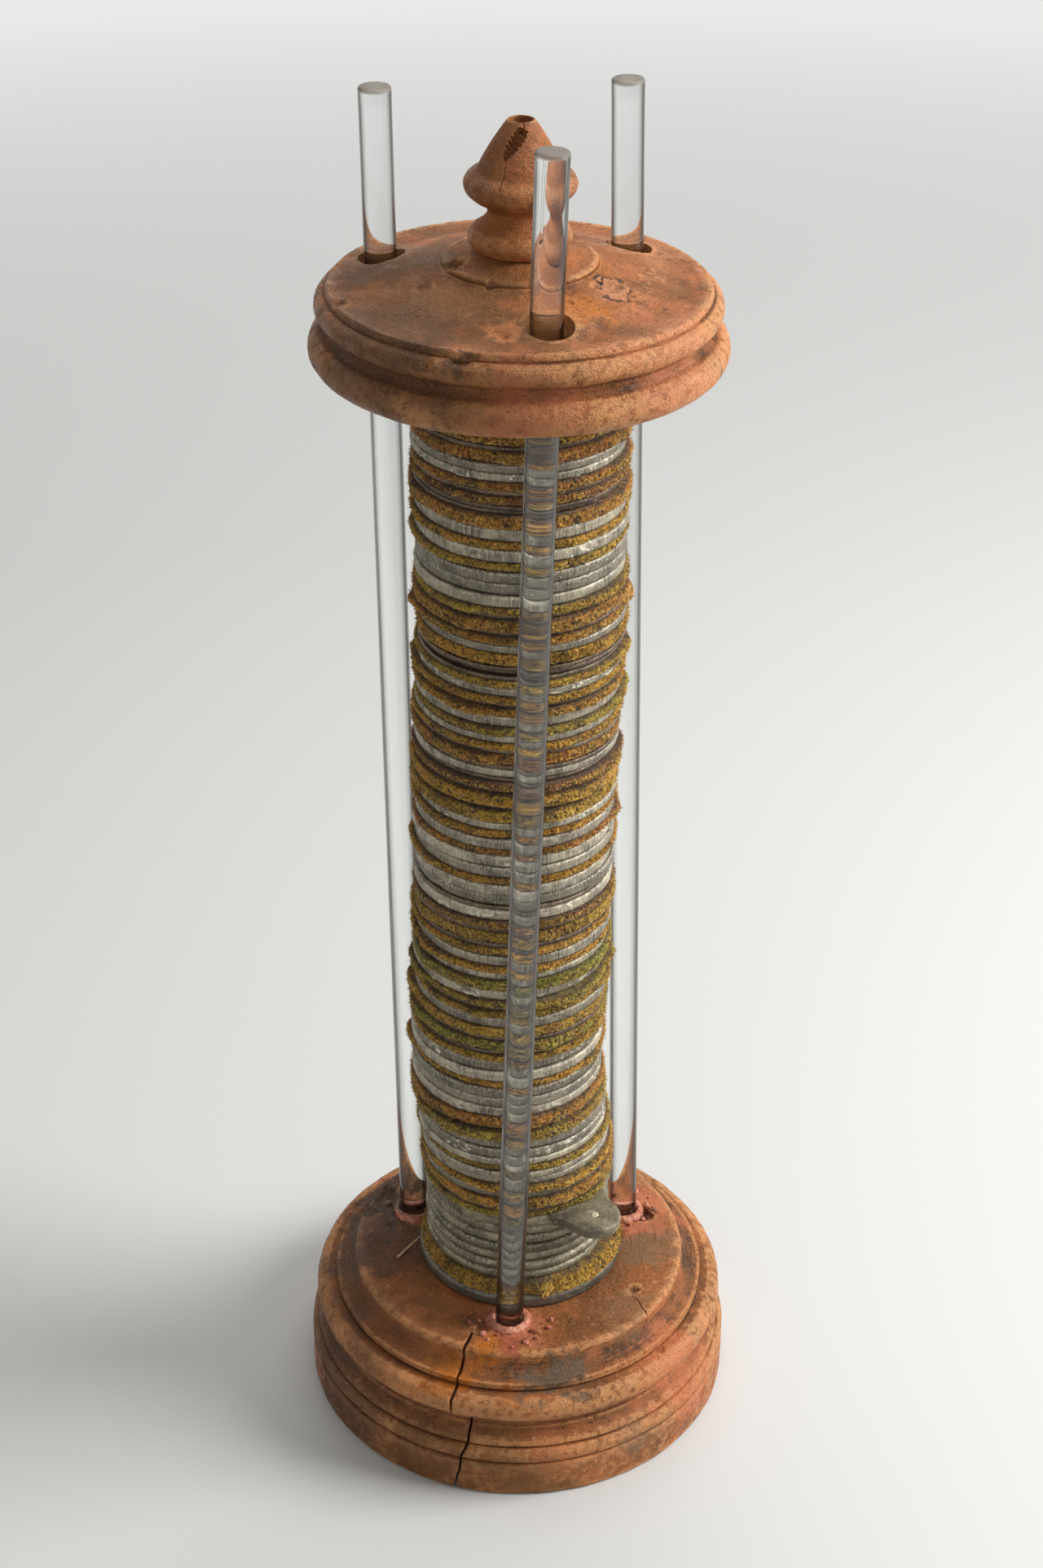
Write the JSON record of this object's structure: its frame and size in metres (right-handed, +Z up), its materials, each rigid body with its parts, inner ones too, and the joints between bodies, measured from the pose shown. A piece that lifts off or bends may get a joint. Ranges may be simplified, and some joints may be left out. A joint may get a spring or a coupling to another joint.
{
  "type": "voltaic pile",
  "caption": "Voltaic pile: a column of metal discs and felt pads between three glass rods, on a turned wooden base and under a turned wooden lid with a finial.",
  "frame": {"origin": "centre of the base's flat underside", "axes": "+Z up along the column, -Y towards the front rod, +X to the right"},
  "size_m": [0.12, 0.12, 0.3718],
  "materials": {
    "base_wood": "worn red-brown stained wood",
    "lid_wood": "worn red-brown stained wood",
    "glass": "clear drawn rod with ground ends",
    "wax": "pink sealing wax",
    "plate_metal": "dull grey zinc with a bloom",
    "terminal_zinc": "granular cast zinc",
    "zinc": "dull zinc with white corrosion",
    "copper": "tarnished dark metal",
    "felt": "ochre wool felt"
  },
  "bodies": {
    "base": {"base": "base_wood", "rod_front": "glass", "rod_left": "glass", "rod_right": "glass", "wax_front": "wax", "wax_left": "wax", "wax_right": "wax", "bottom_plate": "plate_metal", "bottom_pad": "felt"},
    "lower_discs": {"lower_discs": "plate_metal"},
    "terminal": {"terminal_disc": "terminal_zinc"},
    "group_01": {"zinc_discs_01": "zinc", "copper_discs_01": "copper", "felt_pads_01": "felt"},
    "group_02": {"zinc_discs_02": "zinc", "copper_discs_02": "copper", "felt_pads_02": "felt"},
    "group_03": {"zinc_discs_03": "zinc", "copper_discs_03": "copper", "felt_pads_03": "felt"},
    "group_04": {"zinc_discs_04": "zinc", "copper_discs_04": "copper", "felt_pads_04": "felt"},
    "group_05": {"zinc_discs_05": "zinc", "copper_discs_05": "copper", "felt_pads_05": "felt"},
    "group_06": {"zinc_discs_06": "zinc", "copper_discs_06": "copper", "felt_pads_06": "felt"},
    "group_07": {"zinc_discs_07": "zinc", "copper_discs_07": "copper", "felt_pads_07": "felt"},
    "group_08": {"zinc_discs_08": "zinc", "copper_discs_08": "copper", "felt_pads_08": "felt"},
    "group_09": {"zinc_discs_09": "zinc", "copper_discs_09": "copper", "felt_pads_09": "felt"},
    "group_10": {"zinc_discs_10": "zinc", "copper_discs_10": "copper", "felt_pads_10": "felt"},
    "group_11": {"zinc_discs_11": "zinc", "copper_discs_11": "copper", "felt_pads_11": "felt"},
    "group_12": {"zinc_discs_12": "zinc", "copper_discs_12": "copper", "felt_pads_12": "felt"},
    "lid": {"lid": "lid_wood", "finial": "lid_wood"}
  },
  "joints": [
    {"name": "lower_discs_lift", "type": "slide", "parent": "base", "child": "lower_discs", "axis": [0, 0, 1], "range_m": [0, 0.02]},
    {"name": "terminal_turn", "type": "hinge", "parent": "lower_discs", "child": "terminal", "pos_m": [-0.00018, 0, 0.0671], "axis": [0, 0, 1], "range_deg": [-18, 45]},
    {"name": "group_01_lift", "type": "slide", "parent": "lower_discs", "child": "group_01", "axis": [0, 0, 1], "range_m": [0, 0.02]},
    {"name": "group_02_lift", "type": "slide", "parent": "group_01", "child": "group_02", "axis": [0, 0, 1], "range_m": [0, 0.02]},
    {"name": "group_03_lift", "type": "slide", "parent": "group_02", "child": "group_03", "axis": [0, 0, 1], "range_m": [0, 0.02]},
    {"name": "group_04_lift", "type": "slide", "parent": "group_03", "child": "group_04", "axis": [0, 0, 1], "range_m": [0, 0.02]},
    {"name": "group_05_lift", "type": "slide", "parent": "group_04", "child": "group_05", "axis": [0, 0, 1], "range_m": [0, 0.02]},
    {"name": "group_06_lift", "type": "slide", "parent": "group_05", "child": "group_06", "axis": [0, 0, 1], "range_m": [0, 0.02]},
    {"name": "group_07_lift", "type": "slide", "parent": "group_06", "child": "group_07", "axis": [0, 0, 1], "range_m": [0, 0.02]},
    {"name": "group_08_lift", "type": "slide", "parent": "group_07", "child": "group_08", "axis": [0, 0, 1], "range_m": [0, 0.02]},
    {"name": "group_09_lift", "type": "slide", "parent": "group_08", "child": "group_09", "axis": [0, 0, 1], "range_m": [0, 0.02]},
    {"name": "group_10_lift", "type": "slide", "parent": "group_09", "child": "group_10", "axis": [0, 0, 1], "range_m": [0, 0.02]},
    {"name": "group_11_lift", "type": "slide", "parent": "group_10", "child": "group_11", "axis": [0, 0, 1], "range_m": [0, 0.02]},
    {"name": "group_12_lift", "type": "slide", "parent": "group_11", "child": "group_12", "axis": [0, 0, 1], "range_m": [0, 0.02]},
    {"name": "lid_lift", "type": "slide", "parent": "group_12", "child": "lid", "axis": [0, 0, 1], "range_m": [0, 0.065]}
  ]
}
